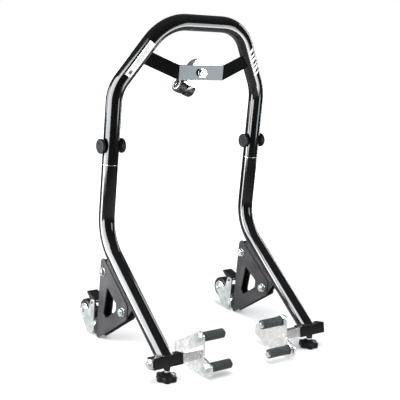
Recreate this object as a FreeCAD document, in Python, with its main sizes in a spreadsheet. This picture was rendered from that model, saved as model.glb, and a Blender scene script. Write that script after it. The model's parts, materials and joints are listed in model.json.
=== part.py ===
"""Front-wheel paddock stand: a tubular hoop on two bent legs, with sliding fork adapters at the
front feet and three casters on the rear side, on which it rolls when it is tipped back.

Frame: +Z up, -Y to the front, where the adapters are, and +X to the right as seen from the front.
Sub-parts are drawn in the frame's own axes: Y is measured from the plane of the upper legs, and Z
along them. The frame leans forward by lean degrees, so node() turns every sub-part about the X axis;
the foot knobs alone stand upright. Millimetres throughout.
"""
import FreeCAD, Part
import math
import os
import Sketcher
from FreeCAD import Placement, Rotation, Vector

AXIS_X = Vector(1, 0, 0)
AXIS_Y = Vector(0, 1, 0)
AXIS_Z = Vector(0, 0, 1)
SIDES = (("left", -1), ("right", 1))

# alias, value, meaning
SIZES = (
    ("leg_y", 131.82, "rear distance of the upper legs' plane from the middle of the footprint"),
    ("lean", 2, "forward lean of the frame about the X axis, degrees"),
    ("lift", 0.423, "rise of the leaning frame that leaves the gussets' lower corners on the floor"),
    ("middle_x", 4.95, "place of the frame's middle plane, beside the middle of the whole footprint"),
    ("tube_outer", 38, "outer diameter of the frame tube"),
    ("tube_wall", 2, "wall of the frame tube"),
    ("leg_span", 421, "distance between the two leg axes"),
    ("knee_height", 248.5, "height of the corner where the leg turns forward"),
    ("knee_slope", 34.5, "fall of the lower leg below horizontal, degrees"),
    ("knee_bend", 110, "bend radius at the knee"),
    ("joint_height", 426, "height where the upper hoop meets the lower legs"),
    ("knob_height", 469, "height of the joint bolts"),
    ("shoulder_height", 599.5, "height of the corner where the hoop turns inward"),
    ("shoulder_bend", 90, "bend radius at the shoulder"),
    ("crown_span", 216, "distance between the two crown corners"),
    ("crown_height", 760, "height of the crown tube's axis"),
    ("crown_lean", 34, "how far the crown stands in front of the legs' plane"),
    ("crown_bend", 103, "bend radius at the crown corners"),
    ("spigot_outer", 33.8, "outer diameter of the sleeve inside the leg joint"),
    ("spigot_wall", 2.5, "wall of the inner sleeve"),
    ("spigot_reach", 72, "length of the sleeve each way from the joint"),
    ("joint_bolt_radius", 5, "radius of the joint bolt"),
    ("joint_knob_radius", 17.5, "radius of a joint knob"),
    ("joint_knob_reach", 31, "distance of a joint knob's face from the leg axis"),
    ("socket_length", 76, "length of the square socket along X"),
    ("socket_side", 25.4, "outer side of the socket"),
    ("socket_wall", 2.2, "wall of the socket"),
    ("socket_y", -287.5, "place of the socket's axis in front of the upper legs"),
    ("socket_height", 53, "height of the socket's axis"),
    ("socket_tilt", 14, "lean of the socket's front face, degrees"),
    ("foot_radius", 24, "outer radius of a foot knob"),
    ("foot_rim", 12.5, "height of the foot knob's lobed rim"),
    ("foot_y", -293.5, "place of the foot knobs' axis"),
    ("stud_radius", 4, "radius of a foot stud"),
    ("adapter_side", 20, "side of the adapter tube"),
    ("adapter_wall", 2, "wall of the adapter tube"),
    ("adapter_length", 123, "length of an adapter tube"),
    ("plate_left", 130.5, "distance of the left adapter plate's outer face from the middle plane"),
    ("plate_right", 117, "the same for the right adapter, which is pulled further in"),
    ("plate_thick", 5, "thickness of the adapter plate"),
    ("pin_radius", 6, "radius of an adapter pin's bolt"),
    ("sleeve_radius", 11, "outer radius of a rubber sleeve"),
    ("sleeve_length", 59, "length of a rubber sleeve"),
    ("flange_radius", 12.5, "radius of the flange at a pin's root"),
    ("gusset_width", 24, "outer width of the folded gusset"),
    ("sheet_thick", 2.5, "thickness of the gusset and bracket sheet"),
    ("bolt_radius", 5, "radius of the gusset bolts"),
    ("web_y", -6, "place of the gusset web's rear face"),
    ("swivel_height", 24, "height of the lower casters' swivel axes"),
    ("wheel_radius", 27, "radius of a lower caster's wheel"),
    ("wheel_width", 22, "width of a lower caster's wheel"),
    ("hub_radius", 18, "radius where the tyre sits on its hub"),
    ("axle_radius", 3, "radius of a lower caster's axle"),
    ("trail", 22, "offset of the wheel axle from the swivel axis"),
    ("drop", 64, "distance of the wheel axle from the mounting face"),
    ("fork_width", 38, "outer width of a lower caster's fork"),
    ("fork_sheet", 2.5, "thickness of the fork cheeks"),
    ("race_radius", 21, "radius of the swivel head"),
    ("kingpin_radius", 5, "radius of a kingpin"),
    ("strap_height", 35, "height of the strap's section"),
    ("strap_thick", 5, "thickness of the strap"),
    ("strap_middle", 128, "width of the strap's flat middle"),
    ("strap_y", -38, "place of the strap's middle plane"),
    ("strap_z", 645, "height of the strap's middle"),
    ("twin_radius", 20, "radius of the central caster's wheels"),
    ("twin_width", 19, "width of each central wheel"),
    ("twin_trail", 41, "offset of the central axle from its swivel axis"),
    ("twin_drop", 43, "distance of the central axle from the strap"),
    ("twin_turn", 19, "swivel of the central caster away from straight down, degrees"),
    ("fit", 0.06, "radial running clearance"),
)

doc = FreeCAD.newDocument("paddock_stand")
sheet = doc.addObject("Spreadsheet::Sheet", "sizes")
for row, (alias, value, meaning) in enumerate(SIZES, start=1):
    sheet.set(f"A{row}", meaning)
    sheet.set(f"B{row}", str(value))
    sheet.setAlias(f"B{row}", alias)
doc.recompute()

nodes = []


def size(alias):
    """Value of one driving dimension."""
    return float(getattr(sheet, alias))


LEAN = Rotation(AXIS_X, size("lean"))

# ---------------------------------------------------------------- helpers

def bind(obj, **expressions):
    """Bind properties of an object to expressions; a double underscore stands for a dot."""
    for prop, expression in expressions.items():
        obj.setExpression(prop.replace("__", "."), expression)
    return obj


def node(obj, label, side=0, y="0", z="0", x=None, turn=None, upright=False):
    """Name a finished sub-part and place its local frame in the leaning frame."""
    obj.Label = label
    own = turn or Rotation()
    obj.Placement = Placement(Vector(0, 0, 0), own if upright else LEAN * own)
    across = x or f"{side} * sizes.leg_span / 2"
    bind(obj, Placement__Base__x=f"sizes.middle_x + {across}",
         Placement__Base__y=f"sizes.leg_y + ({y}) * cos(sizes.lean) - ({z}) * sin(sizes.lean)",
         Placement__Base__z=f"({y}) * sin(sizes.lean) + ({z}) * cos(sizes.lean) + sizes.lift")
    if upright:
        bind(obj, Placement__Base__z="0")
    nodes.append(obj)
    return obj


def cylinder(radius, length, base=(0, 0, 0), axis=AXIS_Z):
    """Part cylinder from a base point along an axis; radius and length are expressions."""
    obj = doc.addObject("Part::Cylinder", "cylinder")
    obj.Placement = Placement(Vector(*base), Rotation(AXIS_Z, axis))
    return bind(obj, Radius=radius, Height=length)


def cone(radius_low, radius_high, length, base=(0, 0, 0), axis=AXIS_Z):
    obj = doc.addObject("Part::Cone", "cone")
    obj.Placement = Placement(Vector(*base), Rotation(AXIS_Z, axis))
    return bind(obj, Radius1=radius_low, Radius2=radius_high, Height=length)


def hexagon(across_flats, length, base, axis):
    """Hexagonal nut or bolt head."""
    obj = doc.addObject("Part::Prism", "hexagon")
    obj.Polygon = 6
    obj.Placement = Placement(Vector(*base), Rotation(AXIS_Z, axis))
    return bind(obj, Circumradius=f"({across_flats}) / 2 / cos(30)", Height=length)


def block(length, width, height, x="0", y="0", z="0"):
    """Box given by its three sizes and the place of its middle, all expressions."""
    obj = doc.addObject("Part::Box", "block")
    return bind(obj, Length=length, Width=width, Height=height,
                Placement__Base__x=f"{x} - ({length}) / 2", Placement__Base__y=f"{y} - ({width}) / 2",
                Placement__Base__z=f"{z} - ({height}) / 2")


def fuse(pieces):
    obj = doc.addObject("Part::MultiFuse", "fuse")
    obj.Shapes = pieces
    obj.Refine = True
    return obj


def cut(base, tool):
    obj = doc.addObject("Part::Cut", "cut")
    obj.Base = base
    obj.Tool = tool
    return obj


def solid(shape):
    """Part::Feature for a shape made with Part's own functions."""
    obj = doc.addObject("Part::Feature", "solid")
    obj.Shape = shape
    return obj


def rounded(points, radii, closed=False):
    """Straight runs joined by tangent arcs: one radius for each turning point, 0 for a sharp corner."""
    count = len(points)
    turning = range(count) if closed else range(1, count - 1)
    entry = list(points)
    leave = list(points)
    arcs = [None] * count
    for index in turning:
        radius = radii[index if closed else index - 1]
        if radius == 0:
            continue
        corner = points[index]
        back = (points[index - 1] - corner).normalize()
        ahead = (points[(index + 1) % count] - corner).normalize()
        half = back.getAngle(ahead) / 2
        entry[index] = corner + back * (radius / math.tan(half))
        leave[index] = corner + ahead * (radius / math.tan(half))
        inward = (back + ahead).normalize()
        middle = corner + inward * (radius / math.sin(half) - radius)
        arcs[index] = Part.Arc(entry[index], middle, leave[index])
    pieces = []
    for index in range(count):
        if arcs[index]:
            pieces.append(arcs[index])
        if closed or index < count - 1:
            following = (index + 1) % count
            if leave[index].distanceToPoint(entry[following]) > 1e-6:
                pieces.append(Part.LineSegment(leave[index], entry[following]))
    return pieces


def rod_along(points, radii, radius):
    """Solid round bar swept along a rounded path."""
    path = Part.Wire([piece.toShape() for piece in rounded(points, radii)])
    ring = Part.Wire([Part.makeCircle(radius, points[0], points[1] - points[0])])
    return path.makePipeShell([ring], True, False)


def new_body(name):
    return doc.addObject("PartDesign::Body", name)


def origin_plane(body, role):
    return next(item for item in body.Origin.OriginFeatures if item.Role == role)


def new_sketch(body, role, pieces=(), offset="0"):
    """Sketch on one of the body's own origin planes, lifted off it by an expression."""
    sketch = body.newObject("Sketcher::SketchObject", "sketch")
    sketch.AttachmentSupport = [(origin_plane(body, role), "")]
    sketch.MapMode = "FlatFace"
    bind(sketch, AttachmentOffset__Base__z=offset)
    for piece in pieces:
        sketch.addGeometry(piece, False)
    return sketch


def outline(points, radii):
    """Closed rounded outline in a sketch's own plane."""
    flat = [Vector(across, up, 0) for across, up in points]
    spread = list(radii) if isinstance(radii, (list, tuple)) else [radii] * len(points)
    return rounded(flat, spread, closed=True)


def circles(sketch, places, radius):
    """Circles of one bound radius at given places of a sketch."""
    for across, up in places:
        index = sketch.addGeometry(Part.Circle(Vector(across, up, 0), AXIS_Z, 1), False)
        constraint = sketch.addConstraint(Sketcher.Constraint("Radius", index, 1))
        sketch.renameConstraint(constraint, f"radius{index}")
        sketch.setExpression(f"Constraints.radius{index}", radius)
    return sketch


def pad(body, sketch, length, middle=False, back=False):
    feature = body.newObject("PartDesign::Pad", "pad")
    feature.Profile = sketch
    feature.Midplane = middle
    feature.Reversed = back
    bind(feature, Length=length)
    return feature


def pocket(body, sketch, length, middle=False, back=False):
    """Pocket that must take material away."""
    doc.recompute()
    before = body.Shape.Volume
    feature = body.newObject("PartDesign::Pocket", "pocket")
    feature.Profile = sketch
    feature.Midplane = middle
    feature.Reversed = back
    bind(feature, Length=length)
    doc.recompute()
    if feature.Shape.Volume > before - 0.5:
        raise RuntimeError(f"pocket in {body.Name} removes nothing")
    return feature


def turned(name, points, radii=0):
    """Body of revolution about the local X axis: points are distance along it and radius."""
    body = new_body(name)
    sketch = new_sketch(body, "XZ_Plane", outline(points, radii))
    turn = body.newObject("PartDesign::Revolution", "turn")
    turn.Profile = sketch
    turn.ReferenceAxis = (sketch, ["H_Axis"])
    turn.Angle = 360
    return body


# ---------------------------------------------------------------- places that several parts share

LEG_X = size("leg_span") / 2
SLOPE = math.radians(size("knee_slope"))
KNEE = Vector(0, 0, size("knee_height"))
ALONG_LEG = Vector(0, -math.cos(SLOPE), -math.sin(SLOPE))
UNDER_LEG = Vector(0, math.sin(SLOPE), -math.cos(SLOPE))
TUBE_RADIUS = size("tube_outer") / 2
TUBE_BORE = TUBE_RADIUS - size("tube_wall")
SOCKET = Vector(0, size("socket_y"), size("socket_height"))
SOCKET_TURN = Rotation(AXIS_X, -size("socket_tilt"))
GUSSET_BOLTS = (61, 178)
BOLT_DEPTH = 53.3
UPPER_PIN = (-291, 92.7)
LOWER_PIN = (-326, 33.6)
PEDAL_PIVOT = (18.5, 58)
PLUMB = LEAN.inverted().multVec(AXIS_Z)
FOOT = Vector(0, size("foot_y"), 0)


def leg_point(along, under):
    """Point beside the lower leg: distance from the knee corner, and below the tube's axis."""
    return KNEE + ALONG_LEG * along + UNDER_LEG * under


def in_socket(vector):
    """Direction or offset turned into the tilted socket's own axes."""
    return SOCKET_TURN.inverted().multVec(vector)


HOOP_HALF = (Vector(LEG_X, 0, size("joint_height")), Vector(LEG_X, 0, size("shoulder_height")),
             Vector(size("crown_span") / 2, -size("crown_lean"), size("crown_height")))
HOOP_PATH = [Vector(-p.x, p.y, p.z) for p in HOOP_HALF] + list(reversed(HOOP_HALF))
HOOP_BENDS = [size("shoulder_bend"), size("crown_bend"), size("crown_bend"), size("shoulder_bend")]
LEG_PATH = [Vector(0, 0, size("joint_height")), KNEE,
            KNEE + ALONG_LEG * (-size("socket_y") / math.cos(SLOPE) + 40)]
LEG_BENDS = [size("knee_bend")]


# ---------------------------------------------------------------- frame tubes

def upper_hoop():
    """One tube over the top: two straight legs, a leaning crown, and a cross hole near each end."""
    shape = rod_along(HOOP_PATH, HOOP_BENDS, TUBE_RADIUS).cut(rod_along(HOOP_PATH, HOOP_BENDS, TUBE_BORE))
    for name, side in SIDES:
        start = Vector(side * LEG_X - 30, 0, size("knob_height"))
        shape = shape.cut(Part.makeCylinder(size("joint_bolt_radius") + 0.4, 60, start, AXIS_X))
    node(solid(shape), "upper_hoop", x="0")


def lower_leg(name, side):
    """Bent tube from the leg joint to the socket, saddled over the socket's rear upper corner."""
    shape = rod_along(LEG_PATH, LEG_BENDS, TUBE_RADIUS).cut(rod_along(LEG_PATH, LEG_BENDS, TUBE_BORE))
    reach = 140
    half = size("socket_side") / 2
    saddle = Part.makeBox(80, reach, reach, Vector(-40, half - reach, half - reach))
    saddle.Placement = Placement(SOCKET, SOCKET_TURN)
    shape = shape.cut(saddle)
    rim = [edge for edge in shape.Edges
           if edge.BoundBox.ZMin > size("joint_height") - 0.01 and edge.BoundBox.XMax > TUBE_RADIUS - 0.01]
    node(solid(shape.makeFillet(1.2, rim)), f"lower_leg_{name}", side)


def leg_sleeve(name, side):
    """Straight sleeve inside the joint, cross-drilled for the joint bolt."""
    bottom = (0, 0, size("joint_height") - size("spigot_reach"))
    outer = cylinder("sizes.spigot_outer / 2", "2 * sizes.spigot_reach", bottom)
    inner = cylinder("sizes.spigot_outer / 2 - sizes.spigot_wall", "2 * sizes.spigot_reach", bottom)
    hole = cylinder("sizes.joint_bolt_radius + 0.4", "sizes.tube_outer",
                    (-TUBE_RADIUS, 0, size("knob_height")), AXIS_X)
    node(cut(cut(outer, inner), hole), f"leg_sleeve_{name}", side)


def joint_knobs(name, side):
    """Cross bolt of a leg joint with a mushroom knob on each end."""
    reach = size("joint_knob_reach")
    bolt_end = reach - 4
    bolt = cylinder("sizes.joint_bolt_radius", f"{2 * bolt_end}")
    node(bolt, f"joint_bolt_{name}", x=f"{side} * sizes.leg_span / 2 - {bolt_end}",
         z="sizes.knob_height", turn=Rotation(AXIS_Z, AXIS_X))
    bore = size("joint_bolt_radius") + size("fit")
    rim = size("joint_knob_radius")
    foot = TUBE_RADIUS + 0.6
    profile = ((foot, bore), (bolt_end + 0.3, bore), (bolt_end + 0.3, 0), (reach - 0.8, 0), (reach - 0.8, 4.5),
               (reach, 5.3), (reach, rim), (reach - 6, rim), (foot, 9))
    corners = (0, 0, 0, 0, 0, 0, 1.8, 2.5, 0)
    for place, facing in (("outer", side), ("inner", -side)):
        turn = Rotation(AXIS_Z, 0 if facing > 0 else 180)
        node(turned("knob", profile, corners), f"joint_knob_{place}_{name}", side,
             z="sizes.knob_height", turn=turn)


# ---------------------------------------------------------------- caster mounting

def leg_bracket(name, side):
    """Channel welded under the lower leg, open towards the tube, that the gusset bolts to."""
    width = "(sizes.gusset_width - 2 * sizes.sheet_thick)"
    body = new_body("bracket")
    corners = [leg_point(52, 10), leg_point(196, 10), leg_point(196, 66), leg_point(52, 66)]
    side_view = [(corner.y, corner.z) for corner in corners]
    pad(body, new_sketch(body, "YZ_Plane", outline(side_view, (0, 0, 10, 10))), width, middle=True)
    hollow = [leg_point(20, 0), leg_point(220, 0), leg_point(220, 63.5), leg_point(20, 63.5)]
    inside = outline([(corner.y, corner.z) for corner in hollow], 0)
    pocket(body, new_sketch(body, "YZ_Plane", inside), f"{width} - 2 * sizes.sheet_thick", middle=True)
    bolts = [leg_point(along, BOLT_DEPTH) for along in GUSSET_BOLTS]
    holes = circles(new_sketch(body, "YZ_Plane"), [(bolt.y, bolt.z) for bolt in bolts],
                    "sizes.bolt_radius + 0.2")
    pocket(body, holes, "sizes.gusset_width", middle=True)
    tube = solid(rod_along(LEG_PATH, LEG_BENDS, TUBE_RADIUS))
    node(cut(body, tube), f"leg_bracket_{name}", side)


def gusset(name, side):
    """Folded sheet: two triangular flanges with a window each, joined by a web at the rear."""
    rear = size("web_y")
    corner_radius = 6
    floor_slope = math.radians(37)
    corner_fall = corner_radius / math.tan((math.pi / 2 - floor_slope) / 2) - corner_radius
    floor_length = 161
    floor_end = (rear - floor_length * math.cos(floor_slope),
                 floor_length * math.sin(floor_slope) - corner_fall)
    body = new_body("gusset")
    rim = ((rear, -corner_fall), (rear, 195), (rear - 10, 204), (-134, 124), floor_end)
    pad(body, new_sketch(body, "YZ_Plane", outline(rim, (corner_radius, 6, 7, 9, 9))),
        "sizes.gusset_width", middle=True)
    fold = rear - size("sheet_thick")
    room = outline(((fold, -30), (fold, 230), (fold - 160, 230), (fold - 160, -30)), 0)
    pocket(body, new_sketch(body, "YZ_Plane", room), "sizes.gusset_width - 2 * sizes.sheet_thick",
           middle=True)
    window = outline(((-41, 139), (-86, 113), (-86, 95), (-44, 61), (-32, 69)), (4, 5, 5, 4, 4))
    pocket(body, new_sketch(body, "YZ_Plane", window), "2 * sizes.gusset_width", middle=True)
    bolts = [leg_point(along, BOLT_DEPTH) for along in GUSSET_BOLTS]
    holes = circles(new_sketch(body, "YZ_Plane"), [(bolt.y, bolt.z) for bolt in bolts],
                    "sizes.bolt_radius + 0.2")
    pocket(body, holes, "2 * sizes.gusset_width", middle=True)
    kingpin_hole = circles(new_sketch(body, "XZ_Plane"), [(0, size("swivel_height"))],
                           "sizes.kingpin_radius + 0.2")
    pocket(body, kingpin_hole, "40", middle=True)
    node(body, f"gusset_{name}", side)


def gusset_bolts(name, side):
    """Two hexagon bolts with washers and nuts through a gusset and its bracket."""
    face = size("gusset_width") / 2
    pieces = []
    for along in GUSSET_BOLTS:
        place = leg_point(along, BOLT_DEPTH)
        pieces.append(cylinder("sizes.bolt_radius", f"{2 * face + 20}", (-face - 10, place.y, place.z), AXIS_X))
        for facing in (-1, 1):
            outward = AXIS_X * facing
            pieces.append(cylinder("2.1 * sizes.bolt_radius", "1.6", (facing * face, place.y, place.z), outward))
            pieces.append(hexagon("17", "6.4", (facing * (face + 1.6), place.y, place.z), outward))
    node(fuse(pieces), f"gusset_bolts_{name}", side)


# ---------------------------------------------------------------- front sockets and feet

def socket(name, side):
    """Square tube along X, tilted, with a hole for the foot stud in its lower wall."""
    bore = "(sizes.socket_side - 2 * sizes.socket_wall)"
    tube = cut(block("sizes.socket_length", "sizes.socket_side", "sizes.socket_side"),
               block("sizes.socket_length + 2", bore, bore))
    start = FOOT + PLUMB * 10
    foot = in_socket(Vector(-2 * side, start.y, start.z) - SOCKET)
    hole = cylinder("sizes.stud_radius + sizes.fit", "sizes.socket_height - 5", foot, in_socket(PLUMB))
    node(cut(tube, hole), f"socket_{name}", y="sizes.socket_y", z="sizes.socket_height",
         x=f"{side} * (sizes.leg_span / 2 + 2)", turn=SOCKET_TURN)


def socket_nut(name, side):
    """Hexagon nut welded under the socket for the foot stud."""
    low = FOOT + PLUMB * 33
    nut = hexagon("14", "14", low, PLUMB)
    thread = cylinder("sizes.stud_radius + sizes.fit", "20", low - PLUMB * 2, PLUMB)
    tube = block("sizes.socket_length", "sizes.socket_side", "sizes.socket_side")
    skew = doc.addObject("Part::Compound", "skew")
    skew.Links = [tube]
    skew.Placement = Placement(SOCKET, SOCKET_TURN)
    node(cut(cut(nut, thread), skew), f"socket_nut_{name}", side)


def foot_outline():
    """Six lobes joined by six hollows of the same radius."""
    lobe = 8
    lobe_reach = size("foot_radius") - lobe
    hollow_reach = 2 * lobe_reach * math.cos(math.radians(30))
    pieces = []
    for turn in range(6):
        angle = math.radians(60 * turn)
        step = math.radians(30)
        centre = Vector(lobe_reach * math.cos(angle), lobe_reach * math.sin(angle), 0)
        hollows = [Vector(hollow_reach * math.cos(angle + way * step),
                          hollow_reach * math.sin(angle + way * step), 0) for way in (-1, 1)]
        joins = [(centre + hollow) / 2 for hollow in hollows]
        tip = Vector(size("foot_radius") * math.cos(angle), size("foot_radius") * math.sin(angle), 0)
        pieces.append(Part.Arc(joins[0], tip, joins[1]))
        bottom = hollows[1].normalize() * (hollow_reach - lobe)
        following = angle + 2 * step
        next_centre = Vector(lobe_reach * math.cos(following), lobe_reach * math.sin(following), 0)
        next_join = (next_centre + hollows[1].normalize() * hollow_reach) / 2
        pieces.append(Part.Arc(joins[1], bottom, next_join))
    return pieces


def foot_knob(name, side):
    """Lobed knob that stands on the floor, with a conical top and the stud it turns."""
    body = new_body("foot_knob")
    rim = pad(body, new_sketch(body, "XY_Plane", foot_outline()), "sizes.foot_rim")
    doc.recompute()
    edges = [f"Edge{index}" for index, edge in enumerate(rim.Shape.Edges, start=1)
             if edge.BoundBox.ZLength < 0.01]
    soft = body.newObject("PartDesign::Fillet", "soft")
    soft.Base = (rim, edges)
    soft.Radius = 1.8
    shank = cut(fuse([body, cone("0.72 * sizes.foot_radius", "7.5", "7", (0, 0, size("foot_rim") - 0.5))]),
                cylinder("sizes.stud_radius", "30", (0, 0, 6)))
    node(shank, f"foot_knob_{name}", side, y="sizes.foot_y", upright=True)
    stud = fuse([cylinder("sizes.stud_radius", "26.6", (0, 0, 6)), hexagon("12", "3.4", (0, 0, 19), AXIS_Z)])
    node(stud, f"foot_stud_{name}", side, y="sizes.foot_y", upright=True)


# ---------------------------------------------------------------- fork adapters

def adapter_tube(name, side):
    """Square tube that slides in the socket, from the plate outward, with a bolted plug in its end."""
    length = "sizes.adapter_length"
    bore = "(sizes.adapter_side - 2 * sizes.adapter_wall)"
    tube = cut(block(length, "sizes.adapter_side", "sizes.adapter_side"), block(f"{length} + 2", bore, bore))
    middle = f"{side} * (sizes.plate_{name} + {length} / 2)"
    node(tube, f"adapter_tube_{name}", y="sizes.socket_y", z="sizes.socket_height",
         x=middle, turn=SOCKET_TURN)
    end = f"{side} * (sizes.plate_{name} + {length})"
    outward = AXIS_X * side
    plug = fuse([cylinder("9.4", "2.4", (0, 0, 0), outward), hexagon("11", "4.5", (side * 2.4, 0, 0), outward)])
    node(plug, f"adapter_end_plug_{name}", y="sizes.socket_y", z="sizes.socket_height", x=end,
         turn=SOCKET_TURN)


def adapter_plate(name, side):
    """Flat cradle plate with an upper and a lower ear for the pins and a tail to the rear."""
    body = new_body("plate")
    rim = ((-306, 107), (-288, 107.5), (-203, 49), (-203, 27), (-242, 12.5), (-330, 12.5),
           (-347, 24), (-344, 46), (-312, 54))
    pad(body, new_sketch(body, "YZ_Plane", outline(rim, (10, 8, 6, 10, 20, 16, 10, 8, 6))),
        "sizes.plate_thick", middle=True)
    holes = circles(new_sketch(body, "YZ_Plane"), [UPPER_PIN, LOWER_PIN], "sizes.pin_radius + 0.1")
    pocket(body, holes, "20", middle=True)
    small = circles(new_sketch(body, "YZ_Plane"), [(-304, 62), (-262, 50)], "2.6")
    pocket(body, small, "20", middle=True)
    node(body, f"adapter_plate_{name}", x=f"{side} * (sizes.plate_{name} - sizes.plate_thick / 2)")


def adapter_pins(name, side):
    """Two bolts through the plate, each with a head, a flange and a domed tip, and rubber sleeves."""
    inward = AXIS_X * -side
    outer = size(f"plate_{name}")
    inner = outer - size("plate_thick")
    root = inner - 3
    tip = root - size("sleeve_length")
    pieces = []
    for along, up in (UPPER_PIN, LOWER_PIN):
        pieces.append(cylinder("sizes.pin_radius", f"{outer - tip}", (side * outer, along, up), inward))
        pieces.append(hexagon("18", "6.5", (side * outer, along, up), AXIS_X * side))
        pieces.append(cylinder("sizes.flange_radius", "3", (side * inner, along, up), inward))
        pieces.append(cone("8.5", "6", "4.5", (side * tip, along, up), inward))
    node(fuse(pieces), f"pin_bolts_{name}", x="0")
    long = size("sleeve_length") - 0.2
    profile = ((0.1, size("pin_radius") + 0.1), (long, size("pin_radius") + 0.1),
               (long, size("sleeve_radius")), (0.1, size("sleeve_radius")))
    turn = Rotation(AXIS_Z, 180 if side > 0 else 0)
    for place, (along, up) in (("upper", UPPER_PIN), ("lower", LOWER_PIN)):
        node(turned("sleeve", profile, (0, 0, 1.4, 1.0)), f"pin_sleeve_{place}_{name}",
             x=f"{side} * (sizes.plate_{name} - sizes.plate_thick - 3)", y=f"({along})", z=f"{up}", turn=turn)


# ---------------------------------------------------------------- lower casters

def caster_mount(name, side):
    """Kingpin bolt and fixed race of a lower caster."""
    place = {"side": side, "y": "sizes.web_y", "z": "sizes.swivel_height"}
    under = size("sheet_thick")
    pin = fuse([cylinder("sizes.kingpin_radius", f"{under + 15}", (0, -under, 0), AXIS_Y),
                hexagon("15", "6", (0, -under - 6, 0), AXIS_Y),
                hexagon("15", "5", (0, 10, 0), AXIS_Y)])
    node(pin, f"caster_kingpin_{name}", **place)
    race = cut(cylinder("sizes.race_radius", "2.5", (0, 0, 0), AXIS_Y),
               cylinder("sizes.kingpin_radius + 0.1", "6", (0, -1, 0), AXIS_Y))
    node(race, f"caster_race_{name}", **place)


def caster_fork(name, side):
    """Swivel head, crown plate and two cheeks that carry the axle and the pedal pivot."""
    body = new_body("fork")
    cheek_rim = ((7, -22), (7, 66), (25, 67), (32, 36), (57, 30.5), (70, 30), (73, 18), (34, -22))
    cheek = pad(body, new_sketch(body, "YZ_Plane", outline(cheek_rim, (6, 3, 8, 9, 8, 7, 7, 12)),
                                 "sizes.fork_width / 2 - sizes.fork_sheet"), "sizes.fork_sheet")
    twin = body.newObject("PartDesign::Mirrored", "twin")
    twin.Originals = [cheek]
    twin.MirrorPlane = (origin_plane(body, "YZ_Plane"), [""])
    body.Tip = twin
    half = size("fork_width") / 2
    crown = outline(((-half, -22), (half, -22), (half, 46), (-half, 46)), (15, 15, 1, 1))
    pad(body, new_sketch(body, "XZ_Plane", crown, "-7"), "2.5", back=True)
    head = circles(new_sketch(body, "XZ_Plane", (), "-3"), [(0, 0)], "sizes.race_radius - 2")
    pad(body, head, "4.5", back=True)
    bore = circles(new_sketch(body, "XZ_Plane"), [(0, 0)], "sizes.kingpin_radius + sizes.fit")
    pocket(body, bore, "40", middle=True)
    axle = circles(new_sketch(body, "YZ_Plane"), [(size("drop"), size("trail"))], "sizes.axle_radius + 0.1")
    pocket(body, axle, "60", middle=True)
    pivot = circles(new_sketch(body, "YZ_Plane"), [PEDAL_PIVOT], "2.5 + sizes.fit")
    pocket(body, pivot, "60", middle=True)
    node(body, f"caster_fork_{name}", side, y="sizes.web_y", z="sizes.swivel_height")


def caster_axle(name, side):
    """Axle bolt with a head and a nut outside the fork cheeks."""
    half = size("fork_width") / 2
    pieces = [cylinder("sizes.axle_radius", f"{2 * half + 9}", (-half - 4.5, 0, 0), AXIS_X)]
    for facing in (-1, 1):
        pieces.append(hexagon("10", "3.6", (facing * half, 0, 0), AXIS_X * facing))
    node(fuse(pieces), f"caster_axle_{name}", side, y="(sizes.web_y + sizes.drop)",
         z="sizes.swivel_height + sizes.trail")


def caster_wheel(name, side):
    """Tyre and recessed hub of a lower caster."""
    place = {"side": side, "y": "(sizes.web_y + sizes.drop)", "z": "sizes.swivel_height + sizes.trail"}
    half = size("wheel_width") / 2
    seat = size("hub_radius")
    rim = size("wheel_radius")
    tyre = ((-half, seat + 0.05), (half, seat + 0.05), (half, rim), (-half, rim))
    node(turned("tyre", tyre, (0, 0, 4, 4)), f"caster_tyre_{name}", **place)
    bore = size("axle_radius") + size("fit")
    hub = ((-half - 1, bore), (half + 1, bore), (half + 1, 7), (half - 3, 8), (half - 3, 14), (half - 0.8, 15.5),
           (half - 0.8, seat), (0.8 - half, seat), (0.8 - half, 15.5), (3 - half, 14), (3 - half, 8),
           (-half - 1, 7))
    node(turned("hub", hub), f"caster_hub_{name}", **place)


def brake_pedal(name, side):
    """Stamped pedal, hollow underneath, on a rivet through the fork cheeks."""
    body = new_body("pedal")
    side_view = outline(((12, 50), (26, 52), (54, 71), (55, 77), (12, 67)), (4, 2, 2, 2.5, 4))
    pad(body, new_sketch(body, "YZ_Plane", side_view), "27", middle=True)
    hollow = outline(((4, 62.5), (51.5, 73.3), (51.5, 30), (4, 30)), 0)
    pocket(body, new_sketch(body, "YZ_Plane", hollow), "22", middle=True)
    rivet = circles(new_sketch(body, "YZ_Plane"), [PEDAL_PIVOT], "2.5")
    pad(body, rivet, "sizes.fork_width + 3", middle=True)
    node(body, f"brake_pedal_{name}", side, y="sizes.web_y", z="sizes.swivel_height")


# ---------------------------------------------------------------- strap and central caster

def caster_strap():
    """Flat bar across the hoop: a straight middle and two arms that rise to the slanted tubes."""
    high = size("strap_height")
    thick = size("strap_thick")
    half = size("strap_middle") / 2
    middle = Part.makeBox(2 * half, thick, high, Vector(-half, -thick / 2, -high / 2))
    back = math.radians(9)
    for name, side in SIDES:
        run = Vector(side * math.cos(back), math.sin(back), 0)
        across = Vector(-side * math.sin(back), math.cos(back), 0) * (thick / 2)
        fold = Vector(side * half, 0, 0)
        corners = [(0, high / 2), (74, 44.5), (94, 17.5), (0, -high / 2)]
        face = [fold + run * along + Vector(0, 0, up) - across for along, up in corners]
        arm = Part.Face(Part.makePolygon(face + face[:1])).extrude(across * 2)
        bend = Part.makeCylinder(thick / 2, high, fold - Vector(0, 0, high / 2))
        middle = middle.fuse([arm, bend])
    middle.translate(Vector(0, size("strap_y"), size("strap_z")))
    stud = Part.makeCylinder(size("kingpin_radius") + 0.2, 40,
                             Vector(0, size("strap_y") - 20, size("strap_z")), AXIS_Y)
    shape = middle.cut([stud, rod_along(HOOP_PATH, HOOP_BENDS, TUBE_RADIUS)]).removeSplitter()
    node(solid(shape), "caster_strap", x="0")


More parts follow.
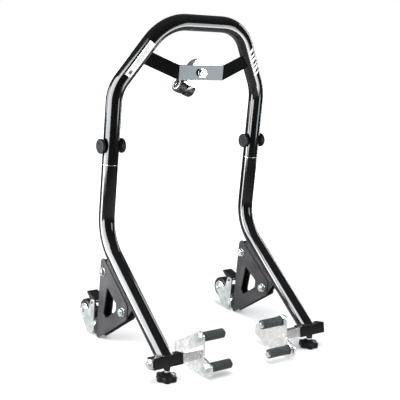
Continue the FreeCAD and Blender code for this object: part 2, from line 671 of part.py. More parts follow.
STRAP_REAR = "(sizes.strap_y + sizes.strap_thick / 2)"


def centre_mount():
    """Stud, flanged nuts and fixed race of the central caster."""
    front = -size("strap_thick")
    pieces = [cylinder("sizes.kingpin_radius", f"{15 - front + 13}", (0, front - 13, 0), AXIS_Y),
              cylinder("10.5", "1.8", (0, front, 0), AXIS_Y * -1),
              hexagon("17", "8", (0, front - 1.8, 0), AXIS_Y * -1),
              hexagon("15", "4.5", (0, 9.5, 0), AXIS_Y)]
    node(fuse(pieces), "centre_kingpin", x="0", y=STRAP_REAR, z="sizes.strap_z")
    race = cut(cylinder("29", "3", (0, 0, 0), AXIS_Y),
               cylinder("sizes.kingpin_radius + 0.1", "8", (0, -1, 0), AXIS_Y))
    node(race, "centre_race", x="0", y=STRAP_REAR, z="sizes.strap_z")


def centre_fork():
    """Round hood with a skirt, and one web between the wheels that carries the axle."""
    body = new_body("fork")
    front = 3.5
    crown = circles(new_sketch(body, "XZ_Plane", (), f"-{front}"), [(0, 0)], "31")
    pad(body, crown, "16", back=True)
    apron = outline(((-25, 0), (-25, -37), (25, -37), (25, 0)), (0, 4, 4, 0))
    pad(body, new_sketch(body, "XZ_Plane", apron, f"-{front}"), "11", back=True)
    hollow = circles(new_sketch(body, "XZ_Plane", (), f"-{front + 5.5}"), [(0, 0)], "29")
    pocket(body, hollow, "30")
    low = outline(((-23, -12), (-23, -60), (23, -60), (23, -12)), 0)
    pocket(body, new_sketch(body, "XZ_Plane", low, f"-{front + 2.5}"), "30")
    web = outline(((4.5, -10), (4.5, -36), (36, -53), (52, -50), (54, -34), (28, -14)), (0, 0, 8, 8, 8, 10))
    pad(body, new_sketch(body, "YZ_Plane", web), "6", middle=True)
    bore = circles(new_sketch(body, "XZ_Plane"), [(0, 0)], "sizes.kingpin_radius + sizes.fit")
    pocket(body, bore, "60", middle=True)
    axle = circles(new_sketch(body, "YZ_Plane"), [(size("twin_drop"), -size("twin_trail"))],
                   "sizes.axle_radius + 0.1")
    pocket(body, axle, "60", middle=True)
    node(body, "centre_fork", x="0", y=STRAP_REAR, z="sizes.strap_z", turn=TWIN_TURN)


TWIN_TURN = Rotation(AXIS_Y, size("twin_turn"))
TWIN_X = "(0 - sizes.twin_trail * sin(sizes.twin_turn))"
TWIN_Z = "(sizes.strap_z - sizes.twin_trail * cos(sizes.twin_turn))"
TWIN_Y = f"({STRAP_REAR} + sizes.twin_drop)"


def centre_wheels():
    """Axle and two wheels of the central caster, one each side of the web."""
    gap = 4
    reach = gap + size("twin_width")
    along = TWIN_TURN.multVec(AXIS_X)
    axle = fuse([cylinder("sizes.axle_radius", f"{2 * reach + 6}", (-reach - 3, 0, 0), AXIS_X),
                 cylinder("5.5", "1.6", (reach + 2.6, 0, 0), AXIS_X),
                 cylinder("5.5", "1.6", (-reach - 2.6, 0, 0), AXIS_X * -1)])
    node(axle, "centre_axle", x=TWIN_X, y=TWIN_Y, z=TWIN_Z, turn=TWIN_TURN)
    bore = size("axle_radius") + size("fit")
    rim = size("twin_radius")
    wide = size("twin_width")
    seat = 13
    tyre = ((0, seat + 0.05), (wide, seat + 0.05), (wide, rim), (0, rim))
    hub = ((0, bore), (wide + 2, bore), (wide + 2, 9), (wide + 0.6, seat), (0, seat))
    for name, side in SIDES:
        turn = TWIN_TURN * Rotation(AXIS_Z, 0 if side > 0 else 180)
        shift = along * (gap * side)
        place = {"x": f"{TWIN_X} + {shift.x}", "y": TWIN_Y, "z": f"{TWIN_Z} + {shift.z}", "turn": turn}
        node(turned("tyre", tyre, (0, 0, 3.5, 2)), f"centre_tyre_{name}", **place)
        node(turned("hub", hub, (0, 0, 1.5, 0, 0)), f"centre_hub_{name}", **place)


# ---------------------------------------------------------------- assembly

upper_hoop()
for name, side in SIDES:
    for make in (lower_leg, leg_sleeve, joint_knobs, leg_bracket, gusset, gusset_bolts, socket, socket_nut,
                 foot_knob, adapter_tube, adapter_plate, adapter_pins, caster_mount, caster_fork,
                 caster_axle, caster_wheel, brake_pedal):
        make(name, side)
caster_strap()
centre_mount()
centre_fork()
centre_wheels()
doc.recompute()

for obj in doc.Objects:
    if "Invalid" in obj.State or "Error" in obj.State:
        raise RuntimeError(f"{obj.Name} did not compute")
for obj in nodes:
    if obj.Shape.isNull() or not obj.Shape.isValid() or not obj.Shape.Solids:
        raise RuntimeError(f"{obj.Label} has no valid solid")

os.makedirs("parts", exist_ok=True)
for obj in nodes:
    obj.Shape.exportStep(f"parts/{obj.Label}.step")
whole = Part.makeCompound([obj.Shape for obj in nodes]).BoundBox
print(len(nodes), "sub-parts, box", whole)
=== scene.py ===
"""Studio scene of the paddock stand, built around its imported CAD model. Metres, in the CAD frame."""

import json
import math
import random

import bmesh
import bpy
from mathutils import Matrix, Vector


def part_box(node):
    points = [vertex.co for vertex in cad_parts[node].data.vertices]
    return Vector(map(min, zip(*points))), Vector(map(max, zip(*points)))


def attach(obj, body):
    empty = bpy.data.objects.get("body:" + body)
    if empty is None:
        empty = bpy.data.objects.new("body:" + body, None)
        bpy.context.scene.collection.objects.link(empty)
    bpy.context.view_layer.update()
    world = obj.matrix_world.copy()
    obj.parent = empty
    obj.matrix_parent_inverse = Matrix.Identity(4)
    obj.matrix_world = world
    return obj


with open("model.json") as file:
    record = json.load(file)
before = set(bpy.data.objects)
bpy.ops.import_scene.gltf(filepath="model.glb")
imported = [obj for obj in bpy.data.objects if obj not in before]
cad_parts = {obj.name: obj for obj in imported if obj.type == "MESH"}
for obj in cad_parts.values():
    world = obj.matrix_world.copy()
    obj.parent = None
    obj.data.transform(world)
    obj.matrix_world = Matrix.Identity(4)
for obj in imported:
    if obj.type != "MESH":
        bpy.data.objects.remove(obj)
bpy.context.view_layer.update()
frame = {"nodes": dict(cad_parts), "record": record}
nodes = frame["nodes"]
SIDES = (("left", -1), ("right", 1))
X = Vector((1, 0, 0))
Z = Vector((0, 0, 1))


def middle(name):
    """Middle of a CAD node's box."""
    low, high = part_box(name)
    return (low + high) / 2


# ---------------------------------------------------------------- material helpers

def add_node(tree, kind, inputs=(), **settings):
    """Add a shader node whose inputs are linked from sockets or set to plain values."""
    made = tree.nodes.new(kind)
    for key, value in settings.items():
        setattr(made, key, value)
    for key, value in dict(inputs).items():
        if isinstance(value, bpy.types.NodeSocket):
            tree.links.new(value, made.inputs[key])
        else:
            made.inputs[key].default_value = value
    return made


class Shader:
    """A Principled material with a few short ways to add procedural detail."""

    def __init__(self, name, color, metal=0.0, rough=0.4, specular=0.5):
        self.material = bpy.data.materials.new(name)
        self.material.use_nodes = True
        self.tree = self.material.node_tree
        self.shader = self.tree.nodes["Principled BSDF"]
        self.shader.inputs["Base Color"].default_value = (*color, 1)
        self.shader.inputs["Metallic"].default_value = metal
        self.shader.inputs["Roughness"].default_value = rough
        self.shader.inputs["Specular IOR Level"].default_value = specular
        self.place = self.tree.nodes.new("ShaderNodeTexCoord").outputs["Object"]
        self.normal = None

    def node(self, kind, inputs=(), **settings):
        return add_node(self.tree, kind, inputs, **settings)

    def math(self, operation, first, second=0.0):
        return self.node("ShaderNodeMath", {0: first, 1: second}, operation=operation).outputs[0]

    def noise(self, scale, detail=4.0, rough=0.55, stretch=None):
        place = self.place
        if stretch:
            place = self.node("ShaderNodeMapping", {"Vector": place, "Scale": stretch}).outputs[0]
        inputs = {"Vector": place, "Scale": scale, "Detail": detail, "Roughness": rough}
        return self.node("ShaderNodeTexNoise", inputs).outputs[0]

    def remap(self, value, low, high, start=0.0, end=1.0):
        inputs = {0: value, 1: low, 2: high, 3: start, 4: end}
        return self.node("ShaderNodeMapRange", inputs).outputs[0]

    def blend(self, factor, first, second):
        inputs = {0: factor, 6: (*first, 1), 7: (*second, 1)}
        return self.node("ShaderNodeMix", inputs, data_type="RGBA").outputs[2]

    def paint(self, color):
        self.tree.links.new(color, self.shader.inputs["Base Color"])

    def roughness(self, value):
        self.tree.links.new(value, self.shader.inputs["Roughness"])

    def bump(self, height, strength, distance):
        """Add relief on top of the softened edges and any earlier relief."""
        inputs = {"Height": height, "Strength": strength, "Distance": distance}
        if self.normal:
            inputs["Normal"] = self.normal
        self.normal = self.node("ShaderNodeBump", inputs).outputs[0]
        self.tree.links.new(self.normal, self.shader.inputs["Normal"])

    def edges(self, radius):
        """Softened edges, so that every sheet edge catches a little light."""
        self.normal = self.node("ShaderNodeBevel", {"Radius": radius}, samples=6).outputs[0]
        self.tree.links.new(self.normal, self.shader.inputs["Normal"])

    def worn(self, radius, low, high):
        """Mask that is 1 where an edge is worn: the bevelled normal differs from the true one there."""
        soft = self.node("ShaderNodeBevel", {"Radius": radius}, samples=6).outputs[0]
        true = self.tree.nodes.new("ShaderNodeNewGeometry").outputs["Normal"]
        product = self.node("ShaderNodeVectorMath", {0: soft, 1: true}, operation="DOT_PRODUCT")
        at_edge = self.remap(product.outputs["Value"], high, low)
        return self.math("MULTIPLY", at_edge, self.remap(self.noise(210), 0.42, 0.58))


def gloss_black(name, orange, rough, specular=0.36, painted_light_gain=1.0):
    """Gloss powder coat: near black, slight orange peel, fine dust specks and dull handling marks."""
    made = Shader(name, (0.003, 0.003, 0.0032), rough=rough, specular=specular)
    made.edges(0.0006)
    specks = made.remap(made.noise(900, 2), 0.66, 0.74)
    cloud = made.remap(made.noise(9, 5), 0.35, 0.7)
    tint = made.math("MAXIMUM", made.math("MULTIPLY", cloud, 0.35), specks)
    # A gain above 1 gives a paler copy of the same black coat: painted light, standing in for light the
    # coat reflects.
    dark = (0.002 * painted_light_gain, 0.002 * painted_light_gain, 0.0023 * painted_light_gain)
    pale = (0.008 * painted_light_gain, 0.008 * painted_light_gain, 0.009 * painted_light_gain)
    made.paint(made.blend(tint, dark, pale))
    made.roughness(made.remap(made.noise(26, 5), 0.3, 0.72, rough * 0.75, rough * 1.5))
    made.bump(made.noise(330, 2), orange, 0.0004)
    return made.material


def zinc(name, light, dark, rough, cloud_scale=38):
    """Bright zinc plate: a clear metal with cloudy crystallised patches and faint drawing lines."""
    made = Shader(name, light, metal=1.0, rough=rough)
    made.edges(0.0004)
    cloud = made.remap(made.noise(cloud_scale, 6, 0.62), 0.32, 0.68)
    made.paint(made.blend(cloud, dark, light))
    made.roughness(made.remap(made.noise(75, 6, 0.65), 0.3, 0.7, rough * 0.6, rough * 1.5))
    made.bump(made.noise(420, 3, stretch=(1, 0.22, 0.22)), 0.16, 0.0003)
    return made.material


def matte_black(name, color, rough, grain_scale, grain, specular=0.16):
    """Moulded plastic or rubber with a fine grain, paler where it has been rubbed."""
    made = Shader(name, color, rough=rough, specular=specular)
    made.edges(0.0005)
    handled = made.remap(made.noise(24, 5), 0.55, 0.85)
    rubbed = made.math("MAXIMUM", made.worn(0.0012, 0.72, 0.97), handled)
    lift = tuple(channel * 2.0 + 0.008 for channel in color)
    made.paint(made.blend(made.math("MULTIPLY", rubbed, 0.6), color, lift))
    made.roughness(made.remap(made.noise(60, 4), 0.3, 0.7, rough * 0.82, min(1.0, rough * 1.2)))
    made.bump(made.noise(grain_scale, 3), grain, 0.0004)
    return made.material


def knurled(name, axis_y, axis_z):
    """Black rubber sleeve along X with a moulded diamond knurl."""
    ridges_round = 16.0
    turns_along = 1450.0
    made = Shader(name, (0.035, 0.042, 0.042), rough=0.62, specular=0.4)
    split = made.node("ShaderNodeSeparateXYZ", {0: made.place})
    across = made.math("SUBTRACT", split.outputs[1], axis_y)
    up = made.math("SUBTRACT", split.outputs[2], axis_z)
    turn = made.math("MULTIPLY", made.math("ARCTAN2", up, across), ridges_round)
    along = made.math("MULTIPLY", split.outputs[0], turns_along)
    ridge_a = made.math("SINE", made.math("ADD", turn, along))
    ridge_b = made.math("SINE", made.math("SUBTRACT", turn, along))
    diamonds = made.math("MAXIMUM", ridge_a, ridge_b)
    made.bump(made.remap(diamonds, 0.1, 0.95), 0.9, 0.0012)
    made.bump(made.noise(900, 2), 0.18, 0.0003)
    tips = made.remap(diamonds, -0.2, 1.0)
    dust = made.math("MULTIPLY", tips, made.remap(made.noise(40, 4), 0.3, 0.8, 0.5, 1.0))
    made.paint(made.blend(dust, (0.014, 0.018, 0.018), (0.062, 0.072, 0.071)))
    made.roughness(made.remap(made.noise(50, 4), 0.3, 0.7, 0.5, 0.75))
    return made.material


# ---------------------------------------------------------------- materials of the CAD nodes

PAINT = gloss_black("frame_paint", 0.06, 0.10)
# The gussets and their bracket welds carry the frame's black coat; the gain of 4 paints it paler, as
# painted light for what their faces reflect.
SHEET_PAINT_LIT = gloss_black("gusset_paint", 0.22, 0.34, 0.36, painted_light_gain=4.0)
ZINC = zinc("bright_zinc", (0.86, 0.89, 0.89), (0.50, 0.56, 0.56), 0.17)
PLATE_ZINC = zinc("plate_zinc", (0.80, 0.80, 0.79), (0.70, 0.70, 0.69), 0.24, 24)
BARE = zinc("inner_steel", (0.85, 0.85, 0.86), (0.6, 0.6, 0.61), 0.22)
KNOB = matte_black("knob_plastic", (0.009, 0.009, 0.010), 0.42, 700, 0.35, specular=0.11)
TREAD = matte_black("tread", (0.010, 0.009, 0.009), 0.36, 420, 0.22)
NYLON = matte_black("hub_nylon", (0.012, 0.012, 0.013), 0.40, 500, 0.2)
PEDAL = matte_black("pedal_enamel", (0.008, 0.008, 0.009), 0.34, 300, 0.15)
low_pin = middle("pin_sleeve_lower_left")
high_pin = middle("pin_sleeve_upper_left")

LOOK = {"frame_paint": PAINT, "gusset_paint": SHEET_PAINT_LIT, "zinc": ZINC, "plate_zinc": PLATE_ZINC,
        "inner_steel": BARE, "knob_plastic": KNOB, "tread": TREAD, "hub_plastic": NYLON, "pedal": PEDAL,
        "sleeve_rubber": knurled("lower_sleeve", low_pin.y, low_pin.z)}
UPPER_SLEEVE = knurled("upper_sleeve", high_pin.y, high_pin.z)

for entry in frame["record"]["subparts"]:
    obj = nodes[entry["node"]]
    look = UPPER_SLEEVE if "sleeve_upper" in entry["node"] else LOOK[entry["material_slot"]]
    obj.data.materials.clear()
    obj.data.materials.append(look)


# ---------------------------------------------------------------- mesh helpers for the added pieces

BEAD_SIDES = 8
BEAD_STEP = 0.0005
STEPS_PER_SCALE = 5.0
TURNED_SIDES = 64
PATCH_COLUMNS = 12
PATCH_ROWS = 16
PATCH_SUNK = 0.0002


def piece(name, shape, look, body):
    """Finish a bmesh as a smooth piece that rides on a body."""
    bmesh.ops.recalc_face_normals(shape, faces=shape.faces)
    mesh = bpy.data.meshes.new(name)
    shape.to_mesh(mesh)
    shape.free()
    mesh.polygons.foreach_set("use_smooth", [True] * len(mesh.polygons))
    mesh.materials.append(look)
    made = bpy.data.objects.new(name, mesh)
    bpy.context.scene.collection.objects.link(made)
    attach(made, body)
    return made


def ring_of(shape, centre, across, other, radius, sides):
    """Add a ring of points round a centre, in the plane of two directions."""
    ring = []
    for step in range(sides):
        angle = 2 * math.pi * step / sides
        offset = across * math.cos(angle) + other * math.sin(angle)
        ring.append(shape.verts.new(centre + offset * radius))
    return ring


def join_rings(shape, first, second):
    """Add the band of faces between two rings."""
    sides = len(first)
    for step in range(sides):
        following = (step + 1) % sides
        shape.faces.new((first[step], first[following], second[following], second[step]))


def swept(shape, points, radii, closed):
    """Add a tube along points, with a radius at each point, to a bmesh."""
    count = len(points)
    rings = []
    across = None
    for index, point in enumerate(points):
        before = points[index - 1] if closed or index else point
        after = points[(index + 1) % count] if closed or index < count - 1 else point
        ahead = (after - before).normalized()
        if across is None:
            across = ahead.orthogonal()
        across = (across - ahead * across.dot(ahead)).normalized()
        other = ahead.cross(across)
        rings.append(ring_of(shape, point, across, other, radii[index], BEAD_SIDES))
    for index in range(count if closed else count - 1):
        join_rings(shape, rings[index], rings[(index + 1) % count])
    if not closed:
        shape.faces.new(rings[0])
        shape.faces.new(rings[-1])


def spaced(points, gap, closed):
    """Points at an even spacing along a polyline."""
    line = list(points) + ([points[0]] if closed else [])
    lengths = [(second - first).length for first, second in zip(line, line[1:])]
    total = sum(lengths)
    count = max(4, round(total / gap))
    result = []
    segment = 0
    passed = 0.0
    for index in range(count if closed else count + 1):
        target = total * index / count
        while segment < len(lengths) - 1 and passed + lengths[segment] < target:
            passed += lengths[segment]
            segment += 1
        share = (target - passed) / lengths[segment]
        result.append(line[segment].lerp(line[segment + 1], min(1.0, share)))
    return result


def weld(name, runs, radius, look, closed=False):
    """Weld bead on the stand, with the overlapping scales of a hand-made weld, a little uneven."""
    uneven = random.Random(name)
    shape = bmesh.new()
    for run in runs:
        places = spaced(run, BEAD_STEP, closed)
        radii = []
        for index in range(len(places)):
            scale = abs(math.sin(math.pi * index / STEPS_PER_SCALE))
            radii.append(radius * (0.80 + 0.24 * scale + 0.05 * uneven.random()))
        swept(shape, places, radii, closed)
    return piece(name, shape, look, "stand")


def lathe(name, profile, base, axis, look, body):
    """Turned piece: profile points are distance along the axis and radius."""
    shape = bmesh.new()
    across = axis.orthogonal().normalized()
    other = axis.cross(across)
    rings = []
    for along, radius in profile:
        rings.append(ring_of(shape, base + axis * along, across, other, radius, TURNED_SIDES))
    for first, second in zip(rings, rings[1:] + rings[:1]):
        join_rings(shape, first, second)
    return piece(name, shape, look, body)


def patch(name, start, end, facing, span, look, shift=0.0, lift=0.00015, slant=0.0):
    """Thin sheet on a straight tube of the stand.

    Start and end lie on the tube's axis, and span and shift run round the tube.
    """
    axis = (end - start).normalized()
    out = (facing - axis * facing.dot(axis)).normalized()
    side = axis.cross(out)
    shape = bmesh.new()
    grids = []
    for level in (TUBE + lift, TUBE - PATCH_SUNK):
        grid = []
        for row in range(PATCH_ROWS + 1):
            line = []
            for column in range(PATCH_COLUMNS + 1):
                share = column / PATCH_COLUMNS - 0.5
                angle = (shift + span * share) / TUBE
                offset = (out * math.cos(angle) + side * math.sin(angle)) * level
                along = start.lerp(end, row / PATCH_ROWS) + axis * (slant * share)
                line.append(shape.verts.new(along + offset))
            grid.append(line)
        grids.append(grid)
    for grid in grids:
        for row in range(PATCH_ROWS):
            for column in range(PATCH_COLUMNS):
                shape.faces.new((grid[row][column], grid[row][column + 1],
                                 grid[row + 1][column + 1], grid[row + 1][column]))
    top, low = grids
    rim = [(0, column) for column in range(PATCH_COLUMNS)]
    rim += [(row, PATCH_COLUMNS) for row in range(PATCH_ROWS)]
    rim += [(PATCH_ROWS, column) for column in range(PATCH_COLUMNS, 0, -1)]
    rim += [(row, 0) for row in range(PATCH_ROWS, 0, -1)]
    for (row, column), (row_next, column_next) in zip(rim, rim[1:] + rim[:1]):
        shape.faces.new((top[row][column], top[row_next][column_next],
                         low[row_next][column_next], low[row][column]))
    return piece(name, shape, look, "stand")


# ---------------------------------------------------------------- leg geometry, as in the CAD

LEAN = Matrix.Rotation(math.radians(2), 3, "X")
FRAME_FOOT = Vector((0.00495, 0.13182, 0.000423))
TUBE = 0.019
LEG_X = 0.2105
KNEE_HEIGHT = 0.2485
JOINT_HEIGHT = 0.426
SLOPE = math.radians(34.5)
TILT = math.radians(14)
SOCKET_HALF = 0.0127


def placed(x, y, z):
    """Point of the leaning frame, from its place before the lean."""
    return FRAME_FOOT + LEAN @ Vector((x, y, z))


KNEE = placed(0, 0, KNEE_HEIGHT)
ALONG = LEAN @ Vector((0, -math.cos(SLOPE), -math.sin(SLOPE)))
UNDER = LEAN @ Vector((0, math.sin(SLOPE), -math.cos(SLOPE)))
SOCKET_UP = LEAN @ Vector((0, math.sin(TILT), math.cos(TILT)))
SOCKET_BACK = LEAN @ Vector((0, math.cos(TILT), -math.sin(TILT)))


def saddle_line(name, side):
    """Line where a lower leg meets the top and rear faces of its socket."""
    leg = Vector((side * LEG_X, 0, 0))
    centre = middle(f"socket_{name}")
    count = 72
    line = []
    for step in range(count):
        angle = 2 * math.pi * step / count
        start = KNEE + leg + X * (TUBE * math.cos(angle)) + UNDER * (TUBE * math.sin(angle))
        centre_line = Vector((start.x, centre.y, centre.z))
        ends = []
        for normal in (SOCKET_UP, SOCKET_BACK):
            height = (start - centre_line).dot(normal) - SOCKET_HALF
            ends.append(height / -ALONG.dot(normal))
        line.append(start + ALONG * max(ends))
    return line


# ---------------------------------------------------------------- welds and pin sleeve lips

LEG_BEAD = 0.0021
BRACKET_BEAD = 0.0015
BRACKET_SPREAD = 0.0098
BRACKET_DEPTH = 0.0168
BRACKET_RUNS = (0.060, 0.108, 0.156)
RUN_LENGTH = 0.034
FLANGE = 0.003
SLEEVE_LIP = ((0.0004, 0.0062), (0.0004, 0.0113), (0.0012, 0.0117), (0.0024, 0.0113), (0.0028, 0.0108),
              (0.0028, 0.0062))

for name, side in SIDES:
    leg = Vector((side * LEG_X, 0, 0))
    weld(f"weld_leg_{name}", [saddle_line(name, side)], LEG_BEAD, PAINT, closed=True)
    for place, cross in (("a", -1), ("b", 1)):
        low = KNEE + leg + X * (cross * BRACKET_SPREAD) + UNDER * BRACKET_DEPTH
        runs = [[low + ALONG * start, low + ALONG * (start + RUN_LENGTH)] for start in BRACKET_RUNS]
        weld(f"weld_bracket_{place}_{name}", runs, BRACKET_BEAD, SHEET_PAINT_LIT)
    low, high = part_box(f"adapter_plate_{name}")
    face = low.x if side > 0 else high.x
    for place in ("upper", "lower"):
        sleeve = middle(f"pin_sleeve_{place}_{name}")
        flange = Vector((face - side * FLANGE, sleeve.y, sleeve.z))
        lathe(f"sleeve_lip_{place}_{name}", SLEEVE_LIP, flange, X * -side, KNOB, f"adapter_{name}")

# ---------------------------------------------------------------- wheel caps, knob rings, joint lips with a painted highlight

WHEEL_HALF = 0.0121
CENTRE_WHEEL_FACE = 0.0096
WHEEL_CAP = ((0.0, 0.0036), (0.0, 0.0174), (0.0006, 0.0178), (0.0014, 0.0172), (0.0014, 0.0136),
             (0.0006, 0.0128), (0.0006, 0.0092), (0.0018, 0.0084), (0.0018, 0.0036))
CENTRE_CAP = ((0.0, 0.0060), (0.0, 0.0142), (0.0008, 0.0146), (0.0014, 0.0140), (0.0014, 0.0118),
              (0.0007, 0.0110), (0.0007, 0.0080), (0.0016, 0.0074), (0.0016, 0.0060))
KNOB_RING = ((-0.0004, 0.0060), (0.0003, 0.0062), (0.0006, 0.0070), (0.0003, 0.0078), (-0.0004, 0.0080))
JOINT_GLINT_LIP = ((-0.0005, 0.0186), (-0.0005, 0.01915), (0.0, 0.0193), (0.0005, 0.01915), (0.0005, 0.0186))

for name, side in SIDES:
    wheel = middle(f"caster_hub_{name}")
    for place, cross in (("outer", -1), ("inner", 1)):
        face = wheel + X * (cross * WHEEL_HALF)
        lathe(f"wheel_cap_{place}_{name}", WHEEL_CAP, face, X * cross, ZINC, f"caster_wheel_{name}")
    for place, cross in (("outer", side), ("inner", -side)):
        knob = f"joint_knob_{place}_{name}"
        low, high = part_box(knob)
        face = middle(knob)
        face.x = high.x if cross > 0 else low.x
        lathe(f"knob_ring_{place}_{name}", KNOB_RING, face, X * cross, KNOB, f"{place}_knob_{name}")

CAP = Shader("pale_cap", (0.52, 0.55, 0.55), metal=0.35, rough=0.32)
cap_cloud = CAP.remap(CAP.noise(70, 5), 0.35, 0.7)
CAP.paint(CAP.blend(cap_cloud, (0.42, 0.45, 0.45), (0.62, 0.65, 0.65)))
CAP.roughness(CAP.remap(CAP.noise(140, 4), 0.3, 0.7, 0.24, 0.42))
CAP.bump(CAP.noise(500, 2), 0.06, 0.0002)
joints = {joint["name"]: joint for joint in frame["record"]["behaviour"]["joints"]}
for name, side in SIDES:
    roll = joints[f"centre_roll_{name}"]
    outward = Vector(roll["axis"]).normalized() * side
    face = Vector(roll["pos_m"]) + outward * CENTRE_WHEEL_FACE
    lathe(f"centre_cap_{name}", CENTRE_CAP, face, outward, CAP.material, f"centre_wheel_{name}")

# Zinc lip at each hoop joint: its bright metal is a painted highlight, standing in for the glint on the
# rounded edge of the black tube.
for name, side in SIDES:
    rim = placed(side * LEG_X, 0, JOINT_HEIGHT)
    lathe(f"joint_glint_lip_{name}", JOINT_GLINT_LIP, rim, LEAN @ Z, ZINC, "stand")

# ---------------------------------------------------------------- label and stripes on the slanted tubes

LABEL = Shader("label_film", (0.86, 0.87, 0.86), rough=0.34, specular=0.4)
film_cloud = LABEL.remap(LABEL.noise(55, 4), 0.35, 0.7)
LABEL.paint(LABEL.blend(film_cloud, (0.80, 0.81, 0.80), (0.90, 0.91, 0.90)))
LABEL.roughness(LABEL.remap(LABEL.noise(120, 4), 0.3, 0.7, 0.28, 0.44))
LABEL.bump(LABEL.noise(600, 2), 0.08, 0.0002)
RULE = Shader("label_ink", (0.10, 0.10, 0.11), rough=0.4, specular=0.3)
ink_cloud = RULE.remap(RULE.noise(300, 3), 0.35, 0.7)
RULE.paint(RULE.blend(ink_cloud, (0.06, 0.06, 0.065), (0.17, 0.17, 0.18)))
RULE.bump(RULE.noise(900, 2), 0.05, 0.0001)

SHOULDER = (0.2105, 0, 0.5995)
CROWN = (0.108, -0.034, 0.760)
LEFT_FACING = LEAN @ Vector((-0.263, -0.964, -0.038))
RIGHT_FACING = LEAN @ Vector((0.08, -0.984, -0.158))
INK_LIFT = 0.00028
RULE_SHIFTS = (-0.0040, -0.0012, 0.0016, 0.0044)
STRIPES = 6
STRIPE_PITCH = 0.064


def slanted(side, share):
    """Point on the axis of a slanted tube, from the shoulder up to the crown."""
    low = placed(side * SHOULDER[0], SHOULDER[1], SHOULDER[2])
    high = placed(side * CROWN[0], CROWN[1], CROWN[2])
    return low.lerp(high, share)


patch("label_sheet", slanted(-1, 0.213), slanted(-1, 0.704), LEFT_FACING, 0.0155, LABEL.material)
for row, shift in enumerate(RULE_SHIFTS):
    finish = 0.66 - 0.035 * (row % 2)
    patch(f"label_rule_{row}", slanted(-1, 0.335), slanted(-1, finish), LEFT_FACING, 0.0007,
          RULE.material, shift=shift, lift=INK_LIFT)
patch("label_mark", slanted(-1, 0.245), slanted(-1, 0.292), LEFT_FACING, 0.0072, RULE.material,
      lift=INK_LIFT)
for index in range(STRIPES):
    begin = 0.30 + index * STRIPE_PITCH
    finish = begin + (0.040 if index % 2 else 0.026)
    patch(f"stripe_{index}", slanted(1, begin), slanted(1, finish), RIGHT_FACING, 0.0165,
          LABEL.material, lift=0.00012, slant=0.006)

# ---------------------------------------------------------------- camera

camera = bpy.data.objects.new("camera", bpy.data.cameras.new("camera"))
bpy.context.scene.collection.objects.link(camera)
CAMERA_PLACE = (-1.2021, -1.5640, 0.7755)
CAMERA_RIGHT = Vector((0.80588, -0.58816, 0.06549))
CAMERA_UP = Vector((0.07318, 0.20871, 0.97484))
CAMERA_FORWARD = Vector((0.58752, 0.78086, -0.21119))
turn = Matrix((CAMERA_RIGHT, CAMERA_UP, -CAMERA_FORWARD)).transposed().to_4x4()
camera.matrix_world = Matrix.Translation(CAMERA_PLACE) @ turn
camera.data.lens = 76.5
camera.data.sensor_width = 36
camera.data.clip_end = 60
bpy.context.scene.camera = camera
bpy.context.scene.view_settings.view_transform = "Standard"


# ---------------------------------------------------------------- light

def area_light(name, place, target, wide, high, power, only_glossy=False, color=(1, 1, 1)):
    """Soft rectangular studio light facing a target."""
    light = bpy.data.objects.new(name, bpy.data.lights.new(name, "AREA"))
    light.data.shape = "RECTANGLE"
    light.data.size = wide
    light.data.size_y = high
    light.data.energy = power
    light.data.color = color
    light.visible_camera = False
    light.visible_diffuse = not only_glossy
    bpy.context.scene.collection.objects.link(light)
    light.location = place
    light.rotation_euler = (Vector(target) - Vector(place)).to_track_quat("-Z", "Y").to_euler()
    return light


area_light("key", (-1.9, 0.26, 0.85), (0, 0.26, 0.75), 2.1, 2.0, 290, only_glossy=True,
           color=(0.95, 0.98, 1))
area_light("side", (-2.0, 0.4, 1.0), (0, 0.1, 0.4), 1.0, 1.6, 14)
area_light("kicker", (-1.6, 1.8, 0.7), (-0.2, 0, 0.15), 0.7, 0.9, 22)
area_light("front", (0.71, -0.83, 0.47), (0, 0.09, 0.66), 0.36, 0.38, 5.5, color=(0.84, 0.94, 1))
low_light = area_light("low", (0.85, -0.95, 0.02), (0.85, -0.95, 1), 1.3, 0.9, 100, only_glossy=True)
low_light.data.spread = math.radians(140)
area_light("low_left", (-0.8, 0.42, 0.18), (-0.23, 0.06, 0.1), 0.3, 0.3, 9)
area_light("fill", (2.2, 0.5, 0.9), (0, 0.2, 0.6), 0.25, 1.8, 18, only_glossy=True)
area_light("overhead", (-0.2, -0.3, 2.9), (0, 0, 0), 1.7, 1.7, 50).visible_glossy = False

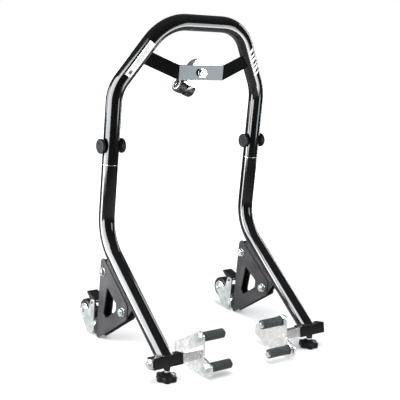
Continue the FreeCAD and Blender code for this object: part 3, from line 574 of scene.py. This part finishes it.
world = bpy.data.worlds.new("studio")
world.use_nodes = True
bpy.context.scene.world = world
sky = world.node_tree
sky.nodes.clear()
path = add_node(sky, "ShaderNodeLightPath")
direction = add_node(sky, "ShaderNodeTexCoord").outputs["Generated"]
height = add_node(sky, "ShaderNodeSeparateXYZ", {0: direction}).outputs[2]
glow = add_node(sky, "ShaderNodeMapRange", {0: height, 1: 0.25, 2: 0.95, 3: 0.10, 4: 0.28}).outputs[0]
white_sky = add_node(sky, "ShaderNodeBackground", {0: (1, 1, 1, 1), 1: 1.0})
soft_sky = add_node(sky, "ShaderNodeBackground", {0: (0.97, 0.985, 1, 1), 1: 0.62})
dark_room = add_node(sky, "ShaderNodeBackground", {0: (0.96, 0.98, 1, 1), 1: glow})
lighting = add_node(sky, "ShaderNodeMixShader", {0: path.outputs["Is Glossy Ray"],
                                                 1: soft_sky.outputs[0], 2: dark_room.outputs[0]})
whole = add_node(sky, "ShaderNodeMixShader", {0: path.outputs["Is Camera Ray"],
                                              1: lighting.outputs[0], 2: white_sky.outputs[0]})
add_node(sky, "ShaderNodeOutputWorld", {0: whole.outputs[0]})

# ---------------------------------------------------------------- floor

FLOOR_RADIUS = 14
FLOOR_DROP = 0.0004

floor_mesh = bpy.data.meshes.new("floor")
floor_shape = bmesh.new()
bmesh.ops.create_circle(floor_shape, cap_ends=True, segments=96, radius=FLOOR_RADIUS)
floor_shape.to_mesh(floor_mesh)
floor_shape.free()
floor = bpy.data.objects.new("floor", floor_mesh)
bpy.context.scene.collection.objects.link(floor)
floor.location.z = -FLOOR_DROP

# The paper glows more with distance, so the floor melts into the white sky but keeps its near shadows.
paper = Shader("floor_paper", (0.75, 0.75, 0.75), rough=0.95, specular=0.0)
paper.bump(paper.noise(60, 3), 0.04, 0.001)
flat = paper.node("ShaderNodeVectorMath", {0: paper.place, 1: (1, 1, 0)}, operation="MULTIPLY")
reach = paper.node("ShaderNodeVectorMath", {0: flat.outputs[0]}, operation="LENGTH").outputs["Value"]
# Seen in reflections the paper is only a glow, strongest near the stand and fading outward, lighting the
# undersides of the tubes as a lamp would.
near = paper.remap(reach, 0.7, 1.7, 0.85, 0.10)
far = paper.remap(reach, 0.55, 1.7, 0.17, 1.0)
seen = paper.tree.nodes.new("ShaderNodeLightPath")
mirrored = paper.node("ShaderNodeEmission", {0: (1, 1, 1, 1), 1: near})
lifted = paper.node("ShaderNodeEmission", {0: (1, 1, 1, 1), 1: far})
lit = paper.node("ShaderNodeAddShader", {0: paper.shader.outputs[0], 1: lifted.outputs[0]})
shown = paper.node("ShaderNodeMixShader", {0: seen.outputs["Is Glossy Ray"], 1: lit.outputs[0],
                                           2: mirrored.outputs[0]})
paper.tree.links.new(shown.outputs[0], paper.tree.nodes["Material Output"].inputs[0])
floor_mesh.materials.append(paper.material)
